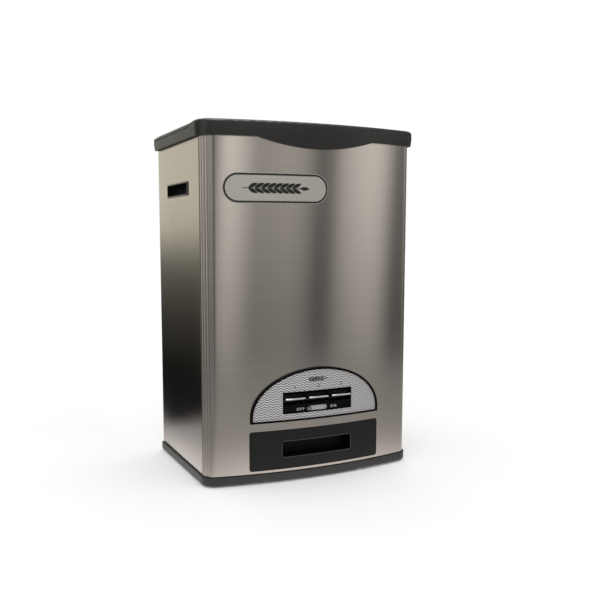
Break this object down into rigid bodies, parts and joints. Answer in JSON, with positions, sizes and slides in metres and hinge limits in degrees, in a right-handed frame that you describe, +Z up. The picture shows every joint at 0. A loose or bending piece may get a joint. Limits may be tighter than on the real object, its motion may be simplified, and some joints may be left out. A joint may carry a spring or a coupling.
{
  "type": "rice dispenser",
  "caption": "Tall stainless rice dispenser: bowed front, hinged black lid, hopper, press keys that turn measuring gates, and a pull-out drawer under a D-shaped panel.",
  "frame": {"origin": "on the table, under the middle of the whole object", "axes": "+Z up, the bowed front with the keys and the drawer faces -Y, +X to the right seen from the front"},
  "size_m": [0.34, 0.2454, 0.502],
  "materials": {
    "black_plastic": "fine-grained satin moulding, warm black",
    "lid_plastic": "fine-grained satin moulding, warm black",
    "rubber": "matt dark rubber",
    "brushed_steel": "fine horizontal brushing, satin",
    "back_steel": "plain satin sheet",
    "screw_steel": "bright zinc",
    "soft_seal": "soft grey silicone",
    "shaft_steel": "ground bright steel",
    "hopper_plastic": "off-white moulded plastic",
    "throat_plastic": "light grey moulded plastic",
    "zinc_steel": "zinc-plated sheet, dull",
    "rail_plastic": "dark grey moulded plastic",
    "tub_plastic": "light grey moulded plastic",
    "drawer_plastic": "satin warm black moulding",
    "dark_plastic": "matt black moulding",
    "bezel_plastic": "gloss black moulding",
    "silver_face": "silver-grey with fine wavy lines and plain numerals",
    "grey_plastic": "mid grey moulding",
    "badge_metal": "plain bright plate",
    "rocker_plastic": "blue-grey moulding",
    "key_plastic": "black moulding with a soft gloss",
    "spring_steel": "spring wire"
  },
  "bodies": {
    "housing": {"base_plinth": "black_plastic", "rubber_feet": "rubber", "body_wrap": "brushed_steel", "back_panel": "back_steel", "back_screws": "screw_steel", "top_rim": "black_plastic", "rim_screws": "screw_steel", "lid_hinge_pins": "shaft_steel", "hopper": "hopper_plastic", "feed_throat": "throat_plastic", "metering_housing": "throat_plastic", "gate_shaft": "shaft_steel", "key_shaft": "shaft_steel", "shaft_clips": "screw_steel", "key_spacers": "throat_plastic", "left_bracket": "zinc_steel", "right_bracket": "zinc_steel", "mechanism_screws": "screw_steel", "bay_frame": "zinc_steel", "bay_screws": "screw_steel", "discharge_chute": "throat_plastic", "right_drawer_rail": "rail_plastic", "left_drawer_rail": "rail_plastic", "panel_bezel": "bezel_plastic", "face_plate": "silver_face", "key_window": "bezel_plastic", "badge_plate": "badge_metal", "right_hand_cup": "dark_plastic", "left_hand_cup": "dark_plastic", "key_spring_1": "spring_steel", "key_spring_2": "spring_steel", "key_spring_3": "spring_steel"},
    "lid": {"lid_panel": "lid_plastic", "lid_seal": "soft_seal"},
    "drawer": {"drawer_tub": "tub_plastic", "drawer_front": "drawer_plastic", "finger_cup": "dark_plastic", "drawer_screws": "screw_steel"},
    "switch": {"slide_switch": "grey_plastic"},
    "key_1": {"measuring_key_1": "key_plastic"},
    "gate_1": {"gate_rocker_1": "rocker_plastic"},
    "key_2": {"measuring_key_2": "key_plastic"},
    "gate_2": {"gate_rocker_2": "rocker_plastic"},
    "key_3": {"measuring_key_3": "key_plastic"},
    "gate_3": {"gate_rocker_3": "rocker_plastic"}
  },
  "joints": [
    {"name": "lid_hinge", "type": "hinge", "parent": "housing", "child": "lid", "pos_m": [0, 0.108, 0.4942], "axis": [-1, 0, 0], "range_deg": [0, 100]},
    {"name": "drawer_slide", "type": "slide", "parent": "housing", "child": "drawer", "axis": [0, -1, 0], "range_m": [0, 0.15]},
    {"name": "switch_slide", "type": "slide", "parent": "housing", "child": "switch", "axis": [1, 0, 0], "range_m": [0, 0.027]},
    {"name": "key_1_press", "type": "hinge", "parent": "housing", "child": "key_1", "pos_m": [0, -0.0975, 0.1185], "axis": [1, 0, 0], "range_deg": [0, 20.48], "stiffness_Nm_per_rad": 0.2, "springref_deg": -20.05, "deforming": ["key_spring_1"]},
    {"name": "gate_1_turn", "type": "hinge", "parent": "housing", "child": "gate_1", "pos_m": [0, -0.066, 0.1185], "axis": [1, 0, 0], "range_deg": [-44, 0]},
    {"name": "key_2_press", "type": "hinge", "parent": "housing", "child": "key_2", "pos_m": [0, -0.0975, 0.1185], "axis": [1, 0, 0], "range_deg": [0, 20.48], "stiffness_Nm_per_rad": 0.2, "springref_deg": -20.05, "deforming": ["key_spring_2"]},
    {"name": "gate_2_turn", "type": "hinge", "parent": "housing", "child": "gate_2", "pos_m": [0, -0.066, 0.1185], "axis": [1, 0, 0], "range_deg": [-44, 0]},
    {"name": "key_3_press", "type": "hinge", "parent": "housing", "child": "key_3", "pos_m": [0, -0.0975, 0.1185], "axis": [1, 0, 0], "range_deg": [0, 20.48], "stiffness_Nm_per_rad": 0.2, "springref_deg": -20.05, "deforming": ["key_spring_3"]},
    {"name": "gate_3_turn", "type": "hinge", "parent": "housing", "child": "gate_3", "pos_m": [0, -0.066, 0.1185], "axis": [1, 0, 0], "range_deg": [-44, 0]}
  ],
  "couplings": [
    {"joint": "gate_1_turn", "follows": "key_1_press", "ratio": -2.1476},
    {"joint": "gate_2_turn", "follows": "key_2_press", "ratio": -2.1476},
    {"joint": "gate_3_turn", "follows": "key_3_press", "ratio": -2.1476}
  ]
}
